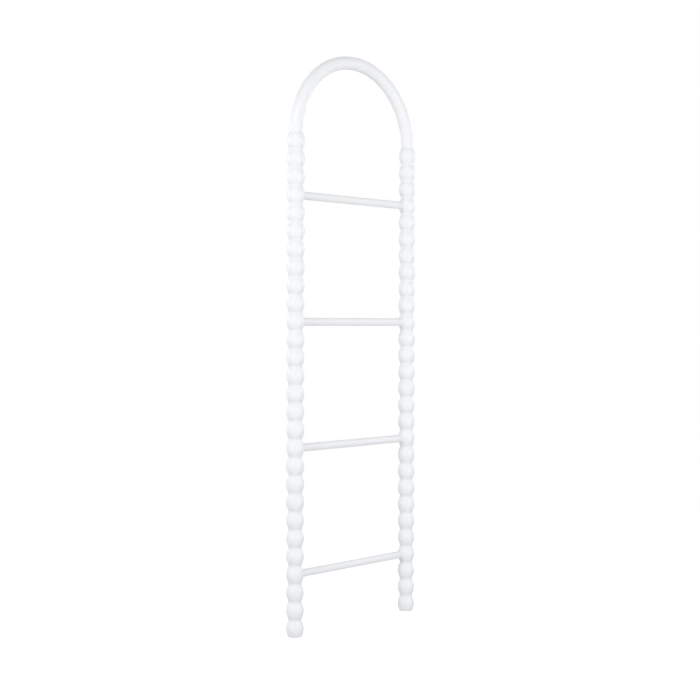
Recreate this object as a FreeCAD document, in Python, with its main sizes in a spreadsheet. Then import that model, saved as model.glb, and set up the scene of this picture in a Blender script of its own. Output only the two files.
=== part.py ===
import FreeCAD, Part
import math
import os
import Sketcher

# Towel ladder: two bobbin-turned uprights, a bent arch over their tops and round rungs between them.
# It stands upright on two foot pads. The origin is on the floor, midway between the feet.
# X runs across the ladder, +Y points to the wall behind it and +Z is up. Sizes are in millimetres.

SIZES = {
    # Bobbin turning of the uprights
    "bead_count": "28",
    "bead_pitch": "45",
    "bead_diameter": "45",
    "neck_diameter": "34",
    "neck_hollow_radius": "11.2",
    # From the middle of the highest bead to the top of the upright
    "end_length": "19.5",
    "top_chamfer": "0.6",
    # From the middle of the lowest bead to the cut under it
    "foot_length": "15.5",
    "foot_rounding": "1",
    "upright_spacing": "400",
    # Rungs, spread evenly over the beads that these two counts leave
    "rung_count": "4",
    "beads_below_rungs": "3",
    "beads_above_rungs": "3",
    "rung_diameter": "20",
    "rung_chamfer": "1",
    # Measured inwards from the crest of the bead
    "rung_socket_depth": "19",
    # Arch
    "arch_rod_diameter": "33",
    # Dowels between the uprights and the arch
    "dowel_diameter": "12",
    "dowel_length": "60",
    "dowel_chamfer": "1.2",
    "flute_count": "16",
    "flute_diameter": "1.2",
    # Pads under the feet
    "pad_diameter": "37",
    "pad_thickness": "4",
    "pad_chamfer": "0.6",
    # Room for glue round a rod in its socket, and at the bottom of the socket
    "glue_gap": "0.1",
    "socket_end_gap": "0.3",
}

# Heights and places that several pieces share, as formulas of the sheet's cells
UPRIGHT_LENGTH = "(Sizes.foot_length + (Sizes.bead_count - 1) * Sizes.bead_pitch + Sizes.end_length)"
JOINT_HEIGHT = f"(Sizes.pad_thickness + {UPRIGHT_LENGTH})"
LOWEST_RUNG = "(Sizes.foot_length + Sizes.beads_below_rungs * Sizes.bead_pitch)"
BEADS_SPANNED = "(Sizes.bead_count - 1 - Sizes.beads_below_rungs - Sizes.beads_above_rungs)"
RUNG_STEP = f"(floor({BEADS_SPANNED} / (Sizes.rung_count - 1)) * Sizes.bead_pitch)"
SOCKET_FLOOR = "(Sizes.bead_diameter / 2 - Sizes.rung_socket_depth)"
DOWEL_SOCKET_RADIUS = "(Sizes.dowel_diameter / 2 + Sizes.glue_gap)"
DOWEL_SOCKET_DEPTH = "(Sizes.dowel_length / 2 + Sizes.socket_end_gap)"

SIDES = {"left": -1, "right": 1}
SPARE_BEADS = 1
HALF_TURN = 180
FULL_TURN = 360
PLACE_TOLERANCE = 1e-3

# Names for a sketch's own axes, its origin and the points of a piece of geometry
ACROSS_AXIS_INDEX, ALONG_AXIS_INDEX = -1, -2
ORIGIN_POINT = (-1, 1)
START_INDEX, END_INDEX, CENTRE_INDEX = 1, 2, 3

# Settings of a feature that take a formula
FORMULA_SETTINGS = ("Length", "Radius", "Size", "Offset", "Occurrences")

doc = FreeCAD.newDocument("towel_ladder")
sheet = doc.addObject("Spreadsheet::Sheet", "Sizes")


def fill_sheet():
    """One named cell for each driving size."""
    for row, (name, value) in enumerate(SIZES.items(), 1):
        sheet.set(f"A{row}", name.replace("_", " "))
        sheet.set(f"B{row}", value)
        sheet.setAlias(f"B{row}", name)
    doc.recompute()


def size(name):
    return float(sheet.get(name))


def side_place(side):
    """The place of an upright's middle line across the ladder."""
    return f"{side} * Sizes.upright_spacing / 2"


def make_body(label, **place):
    """An empty body whose place along x, y or z follows a formula."""
    body = doc.addObject("PartDesign::Body", label)
    for axis, formula in place.items():
        body.setExpression(f"Placement.Base.{axis}", formula)
    return body


def make_sketch(body, name, plane, **offset):
    """A sketch on one of the body's origin planes, moved in its own x, y or z by a formula."""
    sketch = body.newObject("Sketcher::SketchObject", name)
    support = [item for item in body.Origin.OriginFeatures if item.Role == plane]
    sketch.AttachmentSupport = (support[0], "")
    sketch.MapMode = "FlatFace"
    for axis, formula in offset.items():
        sketch.setExpression(f"AttachmentOffset.Base.{axis}", formula)
    return sketch


def constrain(sketch, name, formula, kind, *places):
    """A named constraint whose value follows a formula of the sheet's cells."""
    index = sketch.addConstraint(Sketcher.Constraint(kind, *places))
    sketch.renameConstraint(index, name)
    sketch.setExpression(f"Constraints.{name}", formula)


def add_circle(sketch, name, radius, x="0", y="0"):
    """A circle in a sketch, with its radius and its centre given as formulas."""
    circle = sketch.addGeometry(Part.Circle(FreeCAD.Vector(), FreeCAD.Vector(0, 0, 1), 1))
    constrain(sketch, f"{name}_radius", radius, "Radius", circle, 1)
    for axis, formula in (("X", x), ("Y", y)):
        kind = f"Distance{axis}"
        constrain(sketch, f"{name}_{axis}", formula, kind, *ORIGIN_POINT, circle, CENTRE_INDEX, 0)


def add_feature(body, kind, name, **settings):
    """A feature at the body's tip, built at once so that the next one can read its shape."""
    feature = body.newObject(f"PartDesign::{kind}", name)
    for key, value in settings.items():
        if key in FORMULA_SETTINGS:
            feature.setExpression(key, value)
        else:
            setattr(feature, key, value)
    body.Tip = feature
    doc.recompute()
    return feature


def repeat(body, name, original, sketch, step, count):
    """Copies of a feature along its sketch's upright axis, a step apart."""
    return add_feature(
        body, "LinearPattern", name, Originals=[original], Direction=(sketch, ["V_Axis"]),
        Mode="Spacing", Offset=step, Occurrences=count)


def edges_at(feature, axis, *places):
    """The feature, and the names of its edges that lie flat at one of these places on an axis."""
    names = []
    for number, edge in enumerate(feature.Shape.Edges, 1):
        low = getattr(edge.BoundBox, f"{axis}Min")
        high = getattr(edge.BoundBox, f"{axis}Max")
        if any(max(abs(low - place), abs(high - place)) < PLACE_TOLERANCE for place in places):
            names.append(f"Edge{number}")
    return feature, names


def bead_outline(body):
    """Half the outline of one bead: a round crown that runs tangent into the hollow neck at each end."""
    lowest = f"Sizes.foot_length - {SPARE_BEADS} * Sizes.bead_pitch"
    sketch = make_sketch(body, "bead_outline", "XZ_Plane", y=lowest)
    half = size("bead_pitch") / 2
    crest = size("bead_diameter") / 2
    neck = size("neck_diameter") / 2
    hollow = size("neck_hollow_radius")
    # Two circles that touch have their middles the sum of their radii apart
    crown = ((crest - neck) ** 2 + half ** 2) / (2 * (crest - neck)) - hollow
    turn = math.asin(half / (crown + hollow))

    def arc(x, y, radius, start, end):
        circle = Part.Circle(FreeCAD.Vector(x, y), FreeCAD.Vector(0, 0, 1), radius)
        return sketch.addGeometry(Part.ArcOfCircle(circle, start, end))

    def line(x_start, y_start, x_end, y_end):
        start, end = FreeCAD.Vector(x_start, y_start), FreeCAD.Vector(x_end, y_end)
        return sketch.addGeometry(Part.LineSegment(start, end))

    lower_hollow = arc(neck + hollow, -half, hollow, math.pi - turn, math.pi)
    round_crown = arc(crest - crown, 0, crown, -turn, turn)
    upper_hollow = arc(neck + hollow, half, hollow, math.pi, math.pi + turn)
    lower_neck = line(0, -half, neck, -half)
    upper_neck = line(neck, half, 0, half)
    middle = line(0, half, 0, -half)
    crest_point = sketch.addGeometry(Part.Point(FreeCAD.Vector(crest, 0)), True)

    sketch.addConstraint([
        Sketcher.Constraint("Tangent", lower_hollow, START_INDEX, round_crown, START_INDEX),
        Sketcher.Constraint("Tangent", round_crown, END_INDEX, upper_hollow, END_INDEX),
        Sketcher.Constraint("Coincident", lower_neck, END_INDEX, lower_hollow, END_INDEX),
        Sketcher.Constraint("Coincident", upper_hollow, START_INDEX, upper_neck, START_INDEX),
        Sketcher.Constraint("Coincident", upper_neck, END_INDEX, middle, START_INDEX),
        Sketcher.Constraint("Coincident", middle, END_INDEX, lower_neck, START_INDEX),
        Sketcher.Constraint("PointOnObject", middle, START_INDEX, ALONG_AXIS_INDEX),
        Sketcher.Constraint("PointOnObject", middle, END_INDEX, ALONG_AXIS_INDEX),
        Sketcher.Constraint("Horizontal", lower_neck),
        Sketcher.Constraint("Horizontal", upper_neck),
        Sketcher.Constraint("Horizontal", lower_hollow, CENTRE_INDEX, lower_neck, END_INDEX),
        Sketcher.Constraint("Horizontal", upper_hollow, CENTRE_INDEX, upper_neck, START_INDEX),
        Sketcher.Constraint("PointOnObject", round_crown, CENTRE_INDEX, ACROSS_AXIS_INDEX),
        Sketcher.Constraint("PointOnObject", crest_point, START_INDEX, ACROSS_AXIS_INDEX),
        Sketcher.Constraint("PointOnObject", crest_point, START_INDEX, round_crown),
    ])
    for name, formula, kind, piece, point, value in (
        ("crest", "Sizes.bead_diameter / 2", "DistanceX", crest_point, START_INDEX, crest),
        ("lower_neck", "Sizes.neck_diameter / 2", "DistanceX", lower_neck, END_INDEX, neck),
        ("upper_neck", "Sizes.neck_diameter / 2", "DistanceX", upper_neck, START_INDEX, neck),
        ("lower_end", "-Sizes.bead_pitch / 2", "DistanceY", lower_neck, END_INDEX, -half),
        ("upper_end", "Sizes.bead_pitch / 2", "DistanceY", upper_neck, START_INDEX, half),
    ):
        constrain(sketch, name, formula, kind, *ORIGIN_POINT, piece, point, value)
    constrain(sketch, "hollow", "Sizes.neck_hollow_radius", "Radius", lower_hollow, hollow)
    return sketch


def cut_to_length(body, name, height, upwards):
    """Saws off all of the turning above or below a height, and gives the edge of the cut."""
    sketch = make_sketch(body, f"{name}_outline", "XY_Plane", z=height)
    add_circle(sketch, "saw", "Sizes.bead_diameter")
    cut = add_feature(body, "Pocket", name, Profile=sketch, Type="ThroughAll", Reversed=upwards)
    return edges_at(cut, "Z", sketch.Placement.Base.z)


def make_upright(label, side):
    """A turned post of equal beads, sawn to length, with blind sockets for the rungs and the dowel."""
    body = make_body(label, x=side_place(side), z="Sizes.pad_thickness")
    outline = bead_outline(body)
    bead = add_feature(body, "Revolution", "bead", Profile=outline, ReferenceAxis=(outline, ["V_Axis"]))
    turned_beads = f"Sizes.bead_count + 2 * {SPARE_BEADS}"
    repeat(body, "beads", bead, outline, "Sizes.bead_pitch", turned_beads)
    foot = cut_to_length(body, "foot_cut", "0", False)
    add_feature(body, "Fillet", "foot_edge", Base=foot, Radius="Sizes.foot_rounding")
    top = cut_to_length(body, "top_cut", UPRIGHT_LENGTH, True)
    add_feature(body, "Chamfer", "top_edge", Base=top, Size="Sizes.top_chamfer")

    rung_hole = make_sketch(body, "rung_hole", "YZ_Plane", z=f"{-side} * {SOCKET_FLOOR}")
    add_circle(rung_hole, "hole", "Sizes.rung_diameter / 2 + Sizes.glue_gap", y=LOWEST_RUNG)
    socket = add_feature(
        body, "Pocket", "rung_socket", Profile=rung_hole, Type="ThroughAll", Reversed=side < 0)
    repeat(body, "rung_sockets", socket, rung_hole, RUNG_STEP, "Sizes.rung_count")

    dowel_hole = make_sketch(body, "dowel_hole", "XY_Plane", z=UPRIGHT_LENGTH)
    add_circle(dowel_hole, "hole", DOWEL_SOCKET_RADIUS)
    add_feature(body, "Pocket", "dowel_socket", Profile=dowel_hole, Length=DOWEL_SOCKET_DEPTH)
    return body


def make_arch():
    """A round rod bent to a half circle, bored in both ends for the dowels."""
    body = make_body("top_arch", z=JOINT_HEIGHT)
    section = make_sketch(body, "rod_section", "XY_Plane")
    add_circle(section, "rod", "Sizes.arch_rod_diameter / 2", x=side_place(SIDES["right"]))
    add_feature(
        body, "Revolution", "bend", Profile=section, ReferenceAxis=(section, ["V_Axis"]),
        Angle=HALF_TURN, Reversed=True)
    dowel_holes = make_sketch(body, "dowel_holes", "XY_Plane")
    for name, side in SIDES.items():
        add_circle(dowel_holes, name, DOWEL_SOCKET_RADIUS, x=side_place(side))
    add_feature(
        body, "Pocket", "dowel_sockets", Profile=dowel_holes, Length=DOWEL_SOCKET_DEPTH, Reversed=True)
    return body


def make_rung(number):
    """A straight round rod that reaches into a socket at each end; the lowest is number 1."""
    height = f"Sizes.pad_thickness + {LOWEST_RUNG} + {number - 1} * {RUNG_STEP}"
    body = make_body(f"rung_{number}", z=height)
    section = make_sketch(body, "rod_section", "YZ_Plane")
    add_circle(section, "rod", "Sizes.rung_diameter / 2")
    length = f"Sizes.upright_spacing - 2 * ({SOCKET_FLOOR} + Sizes.socket_end_gap)"
    rod = add_feature(body, "Pad", "rod", Profile=section, Length=length, SideType="Symmetric")
    ends = edges_at(rod, "X", rod.Shape.BoundBox.XMin, rod.Shape.BoundBox.XMax)
    add_feature(body, "Chamfer", "end_edges", Base=ends, Size="Sizes.rung_chamfer")
    return body


def make_dowel(label, side):
    """A fluted dowel, half in the upright and half in the arch; the flutes let the glue out."""
    body = make_body(label, x=side_place(side), z=JOINT_HEIGHT)
    section = make_sketch(body, "dowel_section", "XY_Plane")
    add_circle(section, "dowel", "Sizes.dowel_diameter / 2")
    rod = add_feature(
        body, "Pad", "rod", Profile=section, Length="Sizes.dowel_length", SideType="Symmetric")
    ends = edges_at(rod, "Z", rod.Shape.BoundBox.ZMin, rod.Shape.BoundBox.ZMax)
    add_feature(body, "Chamfer", "end_edges", Base=ends, Size="Sizes.dowel_chamfer")
    flute_section = make_sketch(body, "flute_section", "XY_Plane")
    add_circle(flute_section, "flute", "Sizes.flute_diameter / 2", x="Sizes.dowel_diameter / 2")
    flute = add_feature(
        body, "Pocket", "flute", Profile=flute_section, Length="Sizes.dowel_length", SideType="Symmetric")
    add_feature(
        body, "PolarPattern", "flutes", Originals=[flute], Axis=(flute_section, ["N_Axis"]),
        Angle=FULL_TURN, Occurrences="Sizes.flute_count")
    return body


def make_pad(label, side):
    """A round pad under a foot, with a bevelled lower edge."""
    body = make_body(label, x=side_place(side))
    section = make_sketch(body, "pad_section", "XY_Plane")
    add_circle(section, "pad", "Sizes.pad_diameter / 2")
    disc = add_feature(body, "Pad", "disc", Profile=section, Length="Sizes.pad_thickness")
    add_feature(body, "Chamfer", "lower_edge", Base=edges_at(disc, "Z", 0), Size="Sizes.pad_chamfer")
    return body


def make_ladder():
    pieces = [make_arch()]
    pieces += [make_rung(number) for number in range(1, int(size("rung_count")) + 1)]
    for name, side in SIDES.items():
        pieces.append(make_upright(f"{name}_upright", side))
        pieces.append(make_dowel(f"{name}_arch_dowel", side))
        pieces.append(make_pad(f"{name}_foot_pad", side))
    return pieces


def check(pieces):
    """Stops the build if a feature failed, a cut took nothing away or a piece isn't sound."""
    doc.recompute()
    failed = [item.Label for item in doc.Objects if {"Invalid", "Error"} & set(item.State)]
    cuts = [item for item in doc.Objects if item.TypeId == "PartDesign::Pocket"]
    failed += [cut.Label for cut in cuts if cut.Shape.Volume >= cut.BaseFeature.Shape.Volume]
    failed += [piece.Label for piece in pieces if piece.Shape.isNull() or not piece.Shape.isValid()]
    if failed:
        raise RuntimeError(f"failed: {failed}")


def export(pieces):
    os.makedirs("parts", exist_ok=True)
    for piece in pieces:
        piece.Shape.exportStep(f"parts/{piece.Label}.step")
        print(f"{piece.Label}: {len(piece.Shape.Solids)} solid, {piece.Shape.Volume:.0f} mm3")


fill_sheet()
ladder = make_ladder()
check(ladder)
export(ladder)
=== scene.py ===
import math

import bpy
import numpy as np
from bpy.props import FloatProperty, FloatVectorProperty, IntProperty, PointerProperty
from mathutils import Matrix, Vector


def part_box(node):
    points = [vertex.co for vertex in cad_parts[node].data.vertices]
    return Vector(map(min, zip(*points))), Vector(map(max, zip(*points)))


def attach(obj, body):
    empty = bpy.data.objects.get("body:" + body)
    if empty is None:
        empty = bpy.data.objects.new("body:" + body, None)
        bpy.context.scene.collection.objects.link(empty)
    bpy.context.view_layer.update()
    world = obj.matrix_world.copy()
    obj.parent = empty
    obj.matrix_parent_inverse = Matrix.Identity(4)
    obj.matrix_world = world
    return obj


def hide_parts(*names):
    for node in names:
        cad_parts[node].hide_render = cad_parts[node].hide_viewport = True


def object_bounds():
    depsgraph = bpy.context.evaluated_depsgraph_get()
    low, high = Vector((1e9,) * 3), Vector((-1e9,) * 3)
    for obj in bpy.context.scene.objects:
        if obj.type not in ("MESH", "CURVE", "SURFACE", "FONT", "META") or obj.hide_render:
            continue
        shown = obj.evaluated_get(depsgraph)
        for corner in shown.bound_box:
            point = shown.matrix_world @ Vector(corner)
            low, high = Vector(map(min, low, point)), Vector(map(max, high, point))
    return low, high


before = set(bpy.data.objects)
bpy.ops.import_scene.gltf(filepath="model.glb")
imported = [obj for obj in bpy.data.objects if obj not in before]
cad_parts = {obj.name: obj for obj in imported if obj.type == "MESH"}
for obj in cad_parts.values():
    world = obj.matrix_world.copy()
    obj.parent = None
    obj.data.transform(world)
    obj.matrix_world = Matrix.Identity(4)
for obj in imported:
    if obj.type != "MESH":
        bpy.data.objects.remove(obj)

bl_info = {
    "name": "Towel Ladder",
    "version": (1, 0, 0),
    "blender": (4, 5, 0),
    "location": "3D View > Sidebar > Towel Ladder",
    "description": "Makes a painted towel ladder with bobbin-turned uprights, and a plain stage for it",
    "category": "Add Mesh",
}

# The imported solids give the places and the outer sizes, in metres
CAD_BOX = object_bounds()


def corners(node):
    """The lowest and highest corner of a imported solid."""
    low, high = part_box(node)
    return np.array(low), np.array(high)


def middle(node):
    """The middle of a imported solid's box."""
    low, high = corners(node)
    return (low + high) / 2


def extent(node):
    """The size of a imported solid's box along x, y and z."""
    low, high = corners(node)
    return high - low


# Each upright, and the way along x that its rung sockets face
UPRIGHTS = {"left_upright": 1, "right_upright": -1}
RUNGS = sorted(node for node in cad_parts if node.startswith("rung_"))
PADS = ("left_foot_pad", "right_foot_pad")
DOWELS = ("left_arch_dowel", "right_arch_dowel")

# How finely the surfaces are divided
COLUMNS = 64
CROWN_ROWS = 20
HOLLOW_ROWS = 5
EDGE_ROWS = 5
SOCKET_ROWS = 8
SOCKET_COLUMNS = 6
PATCH_ROWS = 6
ROD_ROWS = 24
ARCH_ROWS = 160
SHARP_EDGE = math.radians(40)

# Places of the stage
FLOOR_REACH = 30.0
FLOOR_FADE = (0.6, 2.5)
LIGHT_TARGET = (0.0, 0.0, 0.74)

# Each lamp's place, and its width and height
STRIP = (0.4, 1.6)
BOX = (0.8, 0.8)
LAMPS = {
    "left_strip": ((-2.29, -0.25, 0.8), STRIP),
    "right_strip": ((0.25, -2.29, 0.8), STRIP),
    "high_box": ((-2.06, -1.02, 2.6), BOX),
    "left_side_box": ((-1.36, 1.86, 1.4), BOX),
    "right_side_box": ((2.23, -0.55, 1.4), BOX),
}

# Brightness of the white room from straight below (-1) to straight above (1), as shares of room_light
ROOM_LIGHT = {-1.0: 1.0, -0.6: 0.35, -0.25: 0.32, -0.05: 0.65, 0.1: 0.78, 0.3: 0.65, 0.55: 0.48, 1.0: 0.33}


# Sizes and colours that a user would change

def length(name, description, default):
    return FloatProperty(
        name=name, description=description, default=float(default), min=0.0, precision=5, unit="LENGTH")


def share(name, description, default):
    return FloatProperty(
        name=name, description=description, default=default, min=0.0, max=1.0, subtype="FACTOR")


def colour(name, description, default):
    return FloatVectorProperty(
        name=name, description=description, default=default, min=0.0, max=1.0, size=3, subtype="COLOR")


def power(name, description, default):
    return FloatProperty(name=name, description=description, default=default, min=0.0, unit="POWER")


def brightness(name, description, default):
    return FloatProperty(name=name, description=description, default=default, min=0.0)


def angle(name, description, degrees):
    return FloatProperty(
        name=name, description=description, default=math.radians(degrees), subtype="ANGLE", unit="ROTATION")


def place(name, description, default):
    return FloatVectorProperty(
        name=name, description=description, default=default, size=3, subtype="XYZ", unit="LENGTH")


class LADDER_PG_sizes(bpy.types.PropertyGroup):
    """Sizes of the turning, the rods and the pads"""

    bead_count: IntProperty(name="Beads", description="Beads on each upright", default=28, min=2)
    bead_diameter: length("Bead diameter", "Widest part of a bead", extent("left_upright")[:2].min())
    neck_diameter: length("Neck diameter", "Narrowest part between two beads", 0.034)
    neck_hollow: length("Neck hollow", "Radius of the hollow between two beads", 0.0112)
    end_length: length("End length", "From the middle of the highest bead to the top of the upright", 0.0195)
    foot_length: length("Foot length", "From the middle of the lowest bead to the cut under it", 0.0155)
    foot_rounding: length("Foot rounding", "Radius of the edge at the foot of an upright", 0.001)
    top_chamfer: length("Top chamfer", "Bevel at the top of an upright", 0.0006)
    rung_diameter: length("Rung diameter", "Thickness of a rung", extent("rung_1")[2])
    rung_chamfer: length("Rung chamfer", "Bevel at the hidden ends of a rung", 0.001)
    rung_socket_depth: length("Rung socket depth", "Depth of a rung's socket below the bead's crest", 0.019)
    glue_gap: length("Glue gap", "Room for glue round a rod in its socket", 0.0001)
    paint_fillet: length("Paint fillet", "Radius of the paint in the corner between rung and bead", 0.0009)
    joint_fillet: length("Joint fillet", "Radius of the paint in the joint under the arch", 0.0003)
    arch_rod_diameter: length("Arch rod diameter", "Thickness of the arch", extent("top_arch")[1])
    dowel_socket_diameter: length("Dowel socket diameter", "Bore for the dowel under the arch", 0.0122)
    dowel_socket_depth: length("Dowel socket depth", "Depth of the dowel's bore", 0.0303)
    soft_edge: length("Soft edge", "Radius that the paint gives to a sharp edge", 0.0004)
    pad_bevel: length("Pad bevel", "Bevel round the underside of a foot pad", 0.0006)


class LADDER_PG_finish(bpy.types.PropertyGroup):
    """Colours and surface of the paint, the rubber and the bare wood"""

    paint_colour: colour("Paint", "Colour of the paint on a bead's crest", (0.776, 0.785, 0.805))
    # Painted shade: the darker colour that the paint takes in each neck, where shade falls
    neck_shade_colour: colour("Hollow paint", "Colour of the thicker paint in a neck", (0.746, 0.756, 0.778))
    paint_roughness: share("Paint roughness", "Middle roughness of the satin paint", 0.42)
    orange_peel: length("Orange peel", "Depth of the dimples that the spray gun leaves", 0.000012)
    lathe_lines: length("Lathe lines", "Depth of the turning marks under the paint", 0.000012)
    grain_lines: length("Grain lines", "Depth of the wood grain under the paint", 0.000015)
    rubber_colour: colour("Rubber", "Colour of the foot pads", (0.66, 0.665, 0.67))
    beech_colour: colour("Beech", "Colour of the bare dowels", (0.56, 0.36, 0.19))


class LADDER_PG_stage(bpy.types.PropertyGroup):
    """Floor, light and camera"""

    floor_colour: colour("Floor", "Colour of the floor", (0.93, 0.93, 0.93))
    floor_lift: brightness("Floor lift", "Light that the floor shows of itself to look white", 0.41)
    room_light: brightness("Room light", "Brightness of the white room at its brightest", 1.30)
    left_strip: power("Left strip", "Power of the tall lamp on the left", 13.3)
    right_strip: power("Right strip", "Power of the tall lamp on the right", 18.1)
    high_box: power("High box", "Power of the lamp high on the left", 14.2)
    left_side_box: power("Left side box", "Power of the lamp beside the ladder on the left", 9.5)
    right_side_box: power("Right side box", "Power of the lamp beside the ladder on the right", 7.6)
    camera_place: place("Camera place", "Where the camera stands", (-2.1431, -2.2356, 0.7815))
    camera_heading: angle("Camera heading", "Turn of the camera from straight ahead, to the left", -43.620)
    camera_tilt: angle("Camera tilt", "How far the camera looks down", 0.673)
    camera_roll: angle("Camera roll", "Lean of the camera to the left", 0.160)
    camera_lens: FloatProperty(
        name="Lens", description="Focal length for a 36 mm frame", default=61.196, min=1.0, unit="CAMERA")
    camera_shift: FloatProperty(
        name="Shift", description="Move of the frame upwards, as a share of its side", default=-0.0185)


# Grids of points and the faces between them

def wrapped_quads(index):
    """Faces of a grid of point numbers whose last column joins its first.

    They face outwards where the columns run anticlockwise seen against the direction of the rows.
    """
    beside = np.roll(index, -1, axis=1)
    return np.stack([index[:-1], beside[:-1], beside[1:], index[1:]], axis=-1).reshape(-1, 4)


def fan(ring, pole):
    """Triangles from each step of a ring of point numbers to one pole; it faces as the ring runs."""
    return np.stack([ring, np.roll(ring, -1), np.full(len(ring), pole)], axis=-1)


def closed_loft(rings):
    """Points and faces of a closed skin over a stack of rings, with a pole in the middle of each end ring.

    rings is an array of rows by columns by 3. A pole is the mean of its ring.
    """
    rows, columns, _ = rings.shape
    index = np.arange(rows * columns).reshape(rows, columns)
    first_pole = rows * columns
    points = np.concatenate([rings.reshape(-1, 3), rings[:1].mean(axis=1), rings[-1:].mean(axis=1)])
    faces = [wrapped_quads(index), fan(index[0][::-1], first_pole), fan(index[-1], first_pole + 1)]
    return points, faces


def used_only(points, faces):
    """Leaves out the points that no face uses, and numbers the rest anew."""
    used = np.unique(np.concatenate([group.ravel() for group in faces]))
    number = np.zeros(len(points), dtype=int)
    number[used] = np.arange(len(used))
    return points[used], [number[group] for group in faces]


def turns(start=0.0):
    """Equal steps of one full turn, in radians."""
    return start + np.arange(COLUMNS) * 2 * math.pi / COLUMNS


def revolve(radii, heights, axis_place, start=0.0):
    """Rings of a turned shape: at each height a circle of that radius about an upright axis."""
    around = turns(start)
    radii = np.asarray(radii)[:, None]
    x = axis_place[0] + radii * np.cos(around)
    y = axis_place[1] + radii * np.sin(around)
    z = np.broadcast_to(np.asarray(heights)[:, None], x.shape)
    return np.stack([x, y, z], axis=-1)


def quarter_round(radius, rows=EDGE_ROWS):
    """Steps along a quarter circle as two arrays: from (0, radius) to (radius, 0)."""
    step = np.linspace(0, math.pi / 2, rows)
    return radius * np.sin(step), radius * np.cos(step)


def add_piece(node, ending, surface, material):
    """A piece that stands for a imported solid, named after it, and rides on the ladder's one body."""
    points, faces = surface
    if not np.isfinite(points).all():
        raise ValueError(f"the sizes don't give a surface for {node}")
    mesh = bpy.data.meshes.new(f"{node}_{ending}")
    mesh.from_pydata(points.tolist(), [], [face for group in faces for face in group.tolist()])
    mesh.shade_smooth()
    mesh.set_sharp_from_angle(angle=SHARP_EDGE)
    mesh.materials.append(material)
    piece = bpy.data.objects.new(mesh.name, mesh)
    bpy.context.scene.collection.objects.link(piece)
    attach(piece, "root")
    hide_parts(node)


# Shapes

class Turning:
    """Outline of the bobbin turning.

    Each bead is a round crown that runs tangent into the hollow necks beside it. Two circles that touch
    have their middles the sum of their radii apart, which gives the crown's radius.
    """

    def __init__(self, sizes, low, high):
        self.low, self.high = low, high
        self.pitch = (high - low - sizes.foot_length - sizes.end_length) / (sizes.bead_count - 1)
        self.half = self.pitch / 2
        self.middles = low + sizes.foot_length + self.pitch * np.arange(sizes.bead_count)
        self.crest = sizes.bead_diameter / 2
        self.neck = sizes.neck_diameter / 2
        self.hollow = sizes.neck_hollow
        rise = self.crest - self.neck
        self.crown = (rise ** 2 + self.half ** 2) / (2 * rise) - self.hollow
        self.turn = math.asin(self.half / (self.crown + self.hollow))

    def radius(self, height):
        """Radius at a height.

        Near a bead's middle it is the crown's arc: its middle's place plus sqrt(crown^2 - offset^2).
        Beyond the touching point it is the hollow's arc: neck + hollow - sqrt(hollow^2 - (half - offset)^2).
        """
        offset = np.abs((height - self.middles[0] + self.half) % self.pitch - self.half)
        on_crown = self.crest - self.crown + np.sqrt(np.maximum(self.crown ** 2 - offset ** 2, 0))
        in_hollow = self.neck + self.hollow
        in_hollow = in_hollow - np.sqrt(np.maximum(self.hollow ** 2 - (self.half - offset) ** 2, 0))
        return np.where(offset < self.crown * math.sin(self.turn), on_crown, in_hollow)

    def heights(self):
        """Heights of the rings: equal steps of angle along each crown and along each hollow."""
        on_crown = self.crown * np.sin(np.linspace(-self.turn, self.turn, CROWN_ROWS + 1))
        from_neck = self.hollow * np.sin(np.linspace(0, self.turn, HOLLOW_ROWS + 1))[:-1]
        offsets = np.concatenate([from_neck - self.half, on_crown, self.half - from_neck[:0:-1]])
        return (self.middles[:, None] + offsets).ravel()


def upright_outline(turning, sizes):
    """Radii and heights up the outside of an upright, over its top edge and down the dowel's bore.

    The foot's rounding is a circle inside the lowest crown that touches it and the foot's plane, so its
    middle is one rounding above the plane, and crown - rounding from the middle of the crown's arc.
    """
    rounding = sizes.foot_rounding
    drop = turning.middles[0] - turning.low - rounding
    reach = math.sqrt((turning.crown - rounding) ** 2 - drop ** 2)
    round_middle = turning.crest - turning.crown + reach
    step = np.linspace(-math.pi / 2, -math.atan2(drop, reach), EDGE_ROWS + 1)
    foot_radii = round_middle + rounding * np.cos(step)
    foot_heights = turning.low + rounding + rounding * np.sin(step)

    bore = sizes.dowel_socket_diameter / 2
    edge = sizes.top_chamfer
    top_radius = float(turning.radius(turning.high))
    heights = turning.heights()
    heights = heights[(heights > foot_heights[-1]) & (heights < turning.high - edge)]
    round_in, round_down = quarter_round(sizes.soft_edge)
    radii = np.concatenate([
        foot_radii, turning.radius(heights), turning.radius(np.array([turning.high - edge])),
        [top_radius - edge], bore + sizes.soft_edge - round_in, [bore]])
    heights = np.concatenate([
        foot_heights, heights, [turning.high - edge, turning.high],
        turning.high - sizes.soft_edge + round_down, [turning.high - sizes.dowel_socket_depth]])
    return radii, heights


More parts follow.
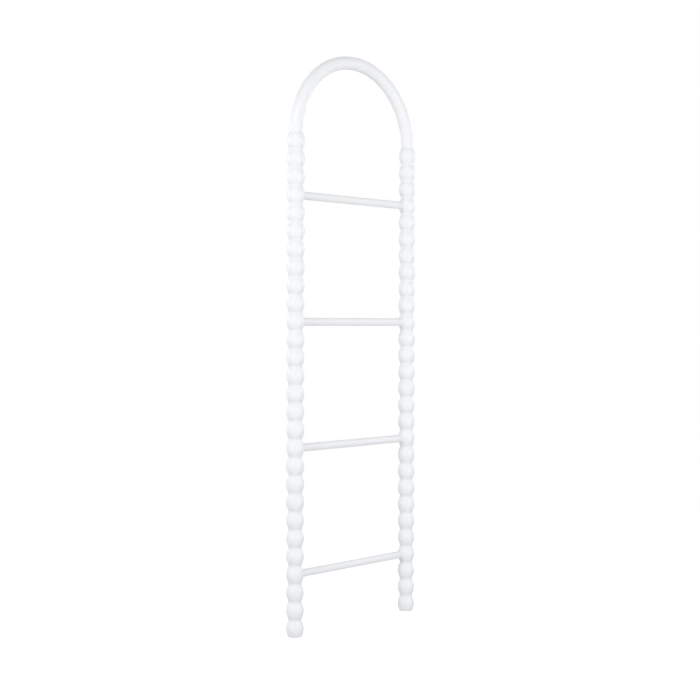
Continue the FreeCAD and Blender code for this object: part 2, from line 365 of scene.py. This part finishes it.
def socket_patch(turning, sizes, axis_x, facing, height, loop_angles, loop_heights):
    """Rings of a rung's socket, from a loop on the turning to the bottom of the hole.

    On the bead each ring is a straight blend, in angle and height, from the loop to the hole's rim, so it
    stays on the turning. Then come the rim's soft edge, the hole's wall and its flat bottom.
    """
    hole = sizes.rung_diameter / 2 + sizes.glue_gap
    edge = sizes.soft_edge
    around = np.arctan2(loop_heights - height, loop_angles * turning.crest)

    def on_bead(radius):
        """Angle and height of the point on the bead straight out from a circle round the hole's axis."""
        up = height + radius * np.sin(around)
        return np.arcsin(radius * np.cos(around) / turning.radius(up)), up

    rim_angles, rim_heights = on_bead(hole + edge)
    blend = np.linspace(0, 1, PATCH_ROWS + 1)[1:, None]
    angles = loop_angles + (rim_angles - loop_angles) * blend
    heights = loop_heights + (rim_heights - loop_heights) * blend
    reach = turning.radius(heights)
    depth = reach * np.cos(angles)
    across = reach * np.sin(angles)

    round_in, round_down = quarter_round(edge)
    circle = (hole + edge - round_in)[:, None]
    edge_depth = depth[-1] - edge + round_down[:, None]
    bottom = np.full((1, len(around)), turning.crest - sizes.rung_socket_depth)
    circle = np.concatenate([circle[1:], [[hole]]])
    depth = np.concatenate([depth, edge_depth[1:], bottom])
    across = np.concatenate([across, circle * np.cos(around)])
    heights = np.concatenate([heights, height + circle * np.sin(around)])
    return np.stack([axis_x + facing * depth, facing * across, heights], axis=-1)


def upright_surface(sizes, name, facing):
    """Points and faces of an upright: the turned outline, opened at each rung and lined with a socket."""
    low, high = corners(name)
    axis_x = middle(name)[0]
    turning = Turning(sizes, low[2], high[2])
    radii, heights = upright_outline(turning, sizes)
    start = 0.0 if facing > 0 else math.pi
    rings = revolve(radii, heights, (axis_x, 0.0), start)
    points, (skin, foot_fan, bore_fan) = closed_loft(rings)
    index = np.arange(len(radii) * COLUMNS).reshape(len(radii), COLUMNS)
    skin = skin.reshape(len(radii) - 1, COLUMNS, 4)
    keep = np.ones(skin.shape[:2], dtype=bool)
    point_groups, face_groups = [points], [foot_fan, bore_fan]
    count = len(points)

    side = np.arange(-SOCKET_COLUMNS, SOCKET_COLUMNS)
    rise = np.arange(-SOCKET_ROWS, SOCKET_ROWS)
    upward = np.full(len(rise), SOCKET_COLUMNS)
    sideways = np.full(len(side), SOCKET_ROWS)
    loop_columns = np.concatenate([side, upward, -side, -upward])
    loop_rises = np.concatenate([-sideways, rise, sideways, -rise])
    for rung in RUNGS:
        height = middle(rung)[2]
        row = int(np.argmin(np.abs(heights - height)))
        keep[np.ix_(row + rise, side % COLUMNS)] = False
        loop = index[row + loop_rises, loop_columns % COLUMNS]
        patch = socket_patch(
            turning, sizes, axis_x, facing, height,
            loop_columns * 2 * math.pi / COLUMNS, heights[row + loop_rises])
        new_index = count + np.arange(patch.shape[0] * patch.shape[1]).reshape(patch.shape[:2])
        pole = count + new_index.size
        point_groups += [patch.reshape(-1, 3), patch[-1].mean(axis=0)[None]]
        face_groups += [wrapped_quads(np.concatenate([loop[None], new_index])), fan(new_index[-1], pole)]
        count = pole + 1
    return used_only(np.concatenate(point_groups), [skin[keep], *face_groups])


def rung_surface(sizes, name):
    """Points and faces of a rung: a round rod along x with bevelled ends in the sockets.

    Where it leaves the bead, the paint fills the corner with a quarter-round hollow whose foot follows
    the bead: at each angle the hollow starts where the bead's surface is.
    """
    low, high = corners("left_upright")
    turning = Turning(sizes, low[2], high[2])
    axis_x = middle("right_upright")[0]
    height = middle(name)[2]
    end = corners(name)[1][0]
    rod = sizes.rung_diameter / 2
    fillet = sizes.paint_fillet
    around = turns()

    def bead_place(radius):
        """Where along x the bead's surface lies, straight out from a circle round the rung's axis."""
        reach = turning.radius(height + radius * np.sin(around))
        return axis_x - np.sqrt(reach ** 2 - (radius * np.cos(around)) ** 2)

    def ring(radius, along):
        along = np.broadcast_to(along, around.shape)
        return np.stack([along, radius * np.cos(around), height + radius * np.sin(around)], axis=-1)

    straight = np.linspace(0, bead_place(rod).min() - 4 * fillet, ROD_ROWS // 2)
    hollow_in, hollow_out = quarter_round(fillet)
    half = [ring(rod, along) for along in straight]
    for inward, outward in zip(hollow_in, hollow_out):
        radius = rod + fillet - outward
        half.append(ring(radius, bead_place(radius) - fillet + inward))
    half += [
        ring(rod + fillet, bead_place(rod + fillet) + sizes.glue_gap),
        ring(rod, bead_place(rod) + sizes.soft_edge),
        ring(rod, end - sizes.rung_chamfer),
        ring(rod - sizes.rung_chamfer, end),
    ]
    half = np.stack(half)
    mirrored = half[:0:-1] * np.array([-1, 1, 1])
    return closed_loft(np.concatenate([mirrored, half]))


def arch_surface(sizes):
    """Points and faces of the arch: a circle carried along a half circle, and a bore in each end.

    The path's point at angle t is (bend cos t, spring + bend sin t). Each ring stands square to the path
    there. The rings go on over the paint in each joint, across the end's face and up the bore.
    """
    low, high = corners("top_arch")
    rod = sizes.arch_rod_diameter / 2
    spring = low[2]
    bend = high[2] - rod - spring
    fillet = sizes.joint_fillet
    edge = sizes.soft_edge
    bore = sizes.dowel_socket_diameter / 2
    around = turns()

    path = np.linspace(0, math.pi, ARCH_ROWS + 1)
    path[0] = fillet / bend
    path[-1] = math.pi - fillet / bend
    out = (bend + rod * np.cos(around))[None]
    depth = np.broadcast_to(rod * np.sin(around), (len(path), COLUMNS))
    rod_rings = np.stack(
        [np.cos(path)[:, None] * out, depth, spring + np.sin(path)[:, None] * out], axis=-1)

    def end_ring(radius, up, side):
        x = side * (bend + radius * np.cos(around))
        return np.stack([x, radius * np.sin(around), np.full(COLUMNS, spring + up)], axis=-1)

    outline = [(rod + fillet - out, fillet - down) for down, out in zip(*quarter_round(fillet))][1:]
    outline += [(bore + edge, 0.0), (bore, edge), (bore, sizes.dowel_socket_depth)]
    right_end = np.stack([end_ring(radius, up, 1) for radius, up in outline[::-1]])
    left_end = np.stack([end_ring(radius, up, -1) for radius, up in outline])
    return closed_loft(np.concatenate([right_end, rod_rings, left_end]))


def pad_surface(sizes, name):
    """Points and faces of a foot pad: a turned disc with a bevelled lower edge."""
    low, high = corners(name)
    radius = (high[0] - low[0]) / 2
    bevel = sizes.pad_bevel
    edge = sizes.soft_edge / 2
    radii = [radius - bevel - edge, radius - bevel, radius, radius, radius, radius - edge]
    heights = [low[2], low[2] + edge / 4, low[2] + bevel, low[2] + bevel + edge, high[2] - edge, high[2]]
    return closed_loft(revolve(radii, heights, middle(name)))


# Finishes

class Nodes:
    """A node tree of a material or of the room."""

    def __init__(self, tree):
        self.tree = tree

    def node(self, kind, inputs=None, **settings):
        """A node with its settings; an input is either another node's output or a plain value."""
        node = self.tree.nodes.new(kind)
        for key, value in settings.items():
            setattr(node, key, value)
        for key, value in (inputs or {}).items():
            self.join(value, node.inputs[key])
        return node

    def join(self, value, socket):
        if isinstance(value, bpy.types.NodeSocket):
            self.tree.links.new(value, socket)
        else:
            socket.default_value = value

    def math(self, operation, first, second=0.0):
        return self.node("ShaderNodeMath", {0: first, 1: second}, operation=operation).outputs[0]


class Finish(Nodes):
    """A material on the piece's own coordinates, with one short call for each kind of node."""

    def __init__(self, name):
        self.material = bpy.data.materials.new(name)
        self.material.use_nodes = True
        super().__init__(self.material.node_tree)
        self.shader = self.tree.nodes["Principled BSDF"]
        self.place = self.node("ShaderNodeTexCoord").outputs["Object"]

    def set(self, **values):
        """Values and links of the shader's own sockets, with underscores for spaces."""
        for key, value in values.items():
            self.join(value, self.shader.inputs[key.replace("_", " ")])

    def noise(self, place, scale, detail=2.0):
        inputs = {"Vector": place, "Scale": scale, "Detail": detail}
        return self.node("ShaderNodeTexNoise", inputs).outputs["Fac"]

    def stretch(self, place, scale):
        return self.node("ShaderNodeMapping", {"Vector": place, "Scale": scale}).outputs["Vector"]

    def spread(self, value, low, high, start=0.3, end=0.7):
        """Carries start to end of a value onto low to high, and holds it there."""
        inputs = {"Value": value, "From Min": start, "From Max": end, "To Min": low, "To Max": high}
        return self.node("ShaderNodeMapRange", inputs, clamp=True).outputs["Result"]

    def blend(self, amount, first, second):
        """A colour between two, of which amount is the share of the second."""
        inputs = {0: amount, 6: (*first, 1.0), 7: (*second, 1.0)}
        return self.node("ShaderNodeMix", inputs, data_type="RGBA").outputs[2]

    def parts(self):
        """The x, y and z of the piece's own coordinates."""
        return self.node("ShaderNodeSeparateXYZ", {0: self.place}).outputs

    def vector(self, x, y, z):
        return self.node("ShaderNodeCombineXYZ", {0: x, 1: y, 2: z}).outputs[0]

    def bump(self, *layers):
        """Bumps on top of each other: each layer is a height from 0 to 1 and its depth in metres."""
        normal = None
        for height, depth in layers:
            bump = self.node("ShaderNodeBump", {"Height": height, "Distance": depth})
            if normal is not None:
                self.join(normal, bump.inputs["Normal"])
            normal = bump.outputs["Normal"]
        return normal


def grain_up(paint):
    """Coordinates whose third part runs along the grain of an upright."""
    return paint.place


def grain_across(paint):
    """Coordinates whose third part runs along the grain of a rung."""
    x, y, z = paint.parts()
    return paint.vector(y, z, x)


def grain_round(paint):
    """Coordinates whose third part runs along the bend of the arch, as its grain does."""
    spring = corners("top_arch")[0][2]
    bend = extent("top_arch")[2] - extent("top_arch")[1] / 2
    x, y, z = paint.parts()
    rise = paint.math("SUBTRACT", z, float(spring))
    reach = paint.math("SQRT", paint.math("ADD", paint.math("POWER", x, 2.0), paint.math("POWER", rise, 2.0)))
    along = paint.math("MULTIPLY", paint.math("ARCTAN2", rise, x), float(bend))
    return paint.vector(reach, y, along)


def neck_shade_share(paint, sizes):
    """Mask of the painted shade in the necks, from 0 on a bead's crest to 1 in a neck: half of 1 - cos of the
    height in turns of the pitch.
    """
    low, high = corners("left_upright")
    turning = Turning(sizes, low[2], high[2])
    height = paint.math("SUBTRACT", paint.parts()[2], float(turning.middles[0]))
    turn = paint.math("MULTIPLY", height, 2 * math.pi / turning.pitch)
    share_of_turn = paint.math("MULTIPLY", paint.math("SUBTRACT", 1.0, paint.math("COSINE", turn)), 0.5)
    return paint.math("POWER", share_of_turn, 2.5)


def painted_wood(name, finish, grain, sizes=None):
    """Satin paint sprayed on wood: dimples from the gun, grain that shows through, faint clouds of colour.

    With sizes it is the paint of the turned uprights, which has lathe lines round the post, is duller in the
    necks, and has painted shade in the necks, where its colour darkens towards the neck-shade colour.
    """
    paint = Finish(name)
    along = grain(paint)
    clouds = paint.spread(paint.noise(paint.place, 17.0, 3.0), 0.0, 0.3)
    streaks = paint.noise(paint.stretch(along, (480.0, 480.0, 7.0)), 1.0, 4.0)
    dimples = paint.noise(paint.place, 640.0, 2.0)
    rubbed = paint.spread(paint.noise(paint.place, 70.0, 5.0), 0.0, 0.06, 0.62, 0.72)
    shade = paint.math("ADD", clouds, paint.spread(streaks, 0.0, 0.14))
    middle_roughness = finish.paint_roughness
    dull = paint.spread(paint.noise(paint.place, 38.0, 4.0), middle_roughness - 0.05, middle_roughness + 0.05)
    dull = paint.math("SUBTRACT", dull, rubbed)
    layers = [(dimples, finish.orange_peel), (streaks, finish.grain_lines)]
    if sizes is not None:
        # Painted shade: the colour darkens towards the neck-shade colour in each neck, while the roughness
        # rises there
        hollow = neck_shade_share(paint, sizes)
        shade = paint.math("ADD", shade, paint.math("MULTIPLY", hollow, 0.5))
        dull = paint.math("ADD", dull, paint.math("MULTIPLY", hollow, 0.07))
        lines = paint.noise(paint.stretch(along, (6.0, 6.0, 950.0)), 1.0, 2.0)
        layers.append((lines, finish.lathe_lines))
    shade = paint.math("MINIMUM", shade, 1.0)
    paint.set(
        Base_Color=paint.blend(shade, finish.paint_colour, finish.neck_shade_colour),
        Roughness=dull, Normal=paint.bump(*layers))
    return paint.material


def grey_rubber(finish):
    """Moulded rubber: a fine grain, a dusty bloom in patches and no shine."""
    rubber = Finish("foot_pad_rubber")
    bloom = rubber.noise(rubber.place, 130.0, 4.0)
    grain = rubber.noise(rubber.place, 2600.0, 2.0)
    dusty = [min(1.0, part * 1.12) for part in finish.rubber_colour]
    rubber.set(
        Base_Color=rubber.blend(rubber.spread(bloom, 0.0, 0.8), finish.rubber_colour, dusty),
        Roughness=rubber.spread(bloom, 0.68, 0.86), Normal=rubber.bump((grain, 0.00003)))
    return rubber.material


def bare_beech(finish):
    """Unpainted beech: long grain up the dowel, short dark flecks and a dry surface."""
    wood = Finish("dowel_beech")
    grain = wood.noise(wood.stretch(wood.place, (700.0, 700.0, 22.0)), 1.0, 5.0)
    flecks = wood.noise(wood.stretch(wood.place, (1900.0, 1900.0, 330.0)), 1.0, 2.0)
    tone = wood.math("ADD", wood.spread(grain, 0.0, 0.7), wood.spread(flecks, 0.0, 0.3, 0.6, 0.75))
    dark = [part * 0.62 for part in finish.beech_colour]
    wood.set(
        Base_Color=wood.blend(tone, finish.beech_colour, dark),
        Roughness=wood.spread(grain, 0.55, 0.72), Normal=wood.bump((grain, 0.00004), (flecks, 0.00003)))
    return wood.material


def pale_floor(stage):
    """A plain pale floor that runs into the white of the room away from the ladder."""
    floor = Finish("pale_floor")
    clouds = floor.spread(floor.noise(floor.place, 0.8, 2.0), 0.0, 1.0)
    deeper = [part * 0.985 for part in stage.floor_colour]
    away = floor.node("ShaderNodeVectorMath", {0: floor.place}, operation="LENGTH").outputs["Value"]
    fade = floor.spread(away, 0.0, 1.0, *FLOOR_FADE)
    floor.set(
        Base_Color=floor.blend(clouds, stage.floor_colour, deeper), Roughness=0.7,
        Specular_IOR_Level=0.0, Emission_Color=(1.0, 1.0, 1.0, 1.0), Emission_Strength=stage.floor_lift)
    white = floor.node("ShaderNodeEmission").outputs[0]
    mixed = floor.node("ShaderNodeMixShader", {0: fade, 1: floor.shader.outputs[0], 2: white})
    floor.join(mixed.outputs[0], floor.tree.nodes["Material Output"].inputs["Surface"])
    return floor.material


# Stage

def add_floor(stage):
    """A flat square under the ladder, on which x and y are the two parameters.

    It neither lights nor shades the ladder, because the room's light from below stands for it.
    """
    reach = np.array([-FLOOR_REACH, FLOOR_REACH])
    x, y = np.meshgrid(reach, reach)
    points = np.stack([x, y, np.full(x.shape, float(CAD_BOX[0][2]))], axis=-1).reshape(-1, 3)
    mesh = bpy.data.meshes.new("studio_floor")
    mesh.from_pydata(points.tolist(), [], [(0, 1, 3, 2)])
    mesh.materials.append(pale_floor(stage))
    floor = bpy.data.objects.new("studio_floor", mesh)
    floor.visible_diffuse = False
    floor.visible_glossy = False
    floor.visible_shadow = False
    bpy.context.scene.collection.objects.link(floor)


def add_white_room(stage):
    """A white room, plain to the camera; its light on the ladder changes with the height it comes from."""
    world = bpy.data.worlds.new("white_room")
    world.use_nodes = True
    room = Nodes(world.node_tree)
    direction = room.node("ShaderNodeTexCoord").outputs["Generated"]
    height = room.node("ShaderNodeSeparateXYZ", {0: direction}).outputs[2]
    rise = room.node("ShaderNodeMapRange", {"Value": height, "From Min": -1.0}).outputs["Result"]
    shares = room.node("ShaderNodeValToRGB", {"Fac": rise})
    stops = shares.color_ramp.elements
    for level in list(ROOM_LIGHT)[1:-1]:
        stops.new((level + 1) / 2)
    for stop, light in zip(stops, ROOM_LIGHT.values()):
        stop.color = (light, light, light, 1.0)
    light_on_ladder = room.math("MULTIPLY", shares.outputs["Color"], stage.room_light)
    to_camera = room.node("ShaderNodeLightPath").outputs["Is Camera Ray"]
    strength = room.node("ShaderNodeMix", {0: to_camera, 2: light_on_ladder, 3: 1.0}).outputs[0]
    background = room.tree.nodes["Background"]
    room.join(strength, background.inputs["Strength"])
    room.join((1.0, 1.0, 1.0, 1.0), background.inputs["Color"])
    bpy.context.scene.world = world


def add_soft_box(name, watts, where, width, height):
    """A large soft lamp that faces the middle of the ladder."""
    lamp = bpy.data.lights.new(name, "AREA")
    lamp.energy = watts
    lamp.shape = "RECTANGLE"
    lamp.size = width
    lamp.size_y = height
    box = bpy.data.objects.new(name, lamp)
    box.location = where
    box.rotation_euler = (Vector(LIGHT_TARGET) - Vector(where)).to_track_quat("-Z", "Y").to_euler()
    box.visible_camera = False
    bpy.context.scene.collection.objects.link(box)


def add_camera(stage):
    """The camera, turned to its heading, then tilted down, then rolled about its own line of sight."""
    camera = bpy.data.cameras.new("camera")
    camera.sensor_width = 36.0
    camera.lens = stage.camera_lens
    camera.shift_y = stage.camera_shift
    camera.clip_end = 100.0
    viewer = bpy.data.objects.new("camera", camera)
    heading = Matrix.Rotation(stage.camera_heading, 4, "Z")
    tilt = Matrix.Rotation(math.pi / 2 - stage.camera_tilt, 4, "X")
    roll = Matrix.Rotation(stage.camera_roll, 4, "Z")
    viewer.matrix_world = Matrix.Translation(stage.camera_place) @ heading @ tilt @ roll
    bpy.context.scene.collection.objects.link(viewer)
    bpy.context.scene.camera = viewer


# Operators, one for each group of like pieces

class LADDER_OT_turn_uprights(bpy.types.Operator):
    """Turn both uprights from a row of beads, with a socket for each rung"""

    bl_idname = "towel_ladder.turn_uprights"
    bl_label = "Turn uprights"

    def execute(self, context):
        sizes = context.scene.ladder_sizes
        paint = painted_wood("white_paint_turned", context.scene.ladder_finish, grain_up, sizes)
        for node, facing in UPRIGHTS.items():
            add_piece(node, "painted", upright_surface(sizes, node, facing), paint)
        return {"FINISHED"}


class LADDER_OT_bend_arch(bpy.types.Operator):
    """Bend the round rod that joins the tops of the uprights"""

    bl_idname = "towel_ladder.bend_arch"
    bl_label = "Bend arch"

    def execute(self, context):
        paint = painted_wood("white_paint_bent", context.scene.ladder_finish, grain_round)
        surface = arch_surface(context.scene.ladder_sizes)
        add_piece("top_arch", "painted", surface, paint)
        return {"FINISHED"}


class LADDER_OT_fit_rungs(bpy.types.Operator):
    """Fit the round rungs into their sockets, with paint in the corners"""

    bl_idname = "towel_ladder.fit_rungs"
    bl_label = "Fit rungs"

    def execute(self, context):
        sizes = context.scene.ladder_sizes
        paint = painted_wood("white_paint_straight", context.scene.ladder_finish, grain_across)
        for node in RUNGS:
            add_piece(node, "painted", rung_surface(sizes, node), paint)
        return {"FINISHED"}


class LADDER_OT_finish_dowels(bpy.types.Operator):
    """Give the fluted dowels under the arch their bare wood"""

    bl_idname = "towel_ladder.finish_dowels"
    bl_label = "Finish dowels"

    def execute(self, context):
        wood = bare_beech(context.scene.ladder_finish)
        for node in DOWELS:
            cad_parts[node].material_slots[0].material = wood
        return {"FINISHED"}


class LADDER_OT_stick_pads(bpy.types.Operator):
    """Stick a rubber pad under each foot"""

    bl_idname = "towel_ladder.stick_pads"
    bl_label = "Stick pads"

    def execute(self, context):
        rubber = grey_rubber(context.scene.ladder_finish)
        for node in PADS:
            surface = pad_surface(context.scene.ladder_sizes, node)
            add_piece(node, "moulded", surface, rubber)
        return {"FINISHED"}


class LADDER_OT_set_stage(bpy.types.Operator):
    """Set up the floor, the soft light and the camera"""

    bl_idname = "towel_ladder.set_stage"
    bl_label = "Set stage"

    def execute(self, context):
        stage = context.scene.ladder_stage
        context.scene.view_settings.view_transform = "Standard"
        add_floor(stage)
        add_white_room(stage)
        for name, (where, size) in LAMPS.items():
            add_soft_box(name, getattr(stage, name), where, *size)
        add_camera(stage)
        return {"FINISHED"}


class LADDER_PT_ladder(bpy.types.Panel):
    """Sizes and colours of the ladder, and the steps that make it"""

    bl_idname = "LADDER_PT_ladder"
    bl_label = "Towel Ladder"
    bl_space_type = "VIEW_3D"
    bl_region_type = "UI"
    bl_category = "Towel Ladder"

    def draw(self, context):
        for step in STEPS:
            self.layout.operator(step.bl_idname)
        for group in GROUPS:
            box = self.layout.box()
            settings = getattr(context.scene, group)
            for name in settings.__annotations__:
                box.prop(settings, name)


GROUPS = {
    "ladder_sizes": LADDER_PG_sizes,
    "ladder_finish": LADDER_PG_finish,
    "ladder_stage": LADDER_PG_stage,
}
STEPS = (
    LADDER_OT_turn_uprights,
    LADDER_OT_bend_arch,
    LADDER_OT_fit_rungs,
    LADDER_OT_finish_dowels,
    LADDER_OT_stick_pads,
    LADDER_OT_set_stage,
)
CLASSES = (*GROUPS.values(), *STEPS, LADDER_PT_ladder)


def register():
    for each in CLASSES:
        bpy.utils.register_class(each)
    for name, group in GROUPS.items():
        setattr(bpy.types.Scene, name, PointerProperty(type=group))


def unregister():
    for name in GROUPS:
        delattr(bpy.types.Scene, name)
    for each in reversed(CLASSES):
        bpy.utils.unregister_class(each)


def main():
    register()
    bpy.ops.towel_ladder.turn_uprights()
    bpy.ops.towel_ladder.bend_arch()
    bpy.ops.towel_ladder.fit_rungs()
    bpy.ops.towel_ladder.finish_dowels()
    bpy.ops.towel_ladder.stick_pads()
    bpy.ops.towel_ladder.set_stage()


if __name__ == "__main__":
    main()
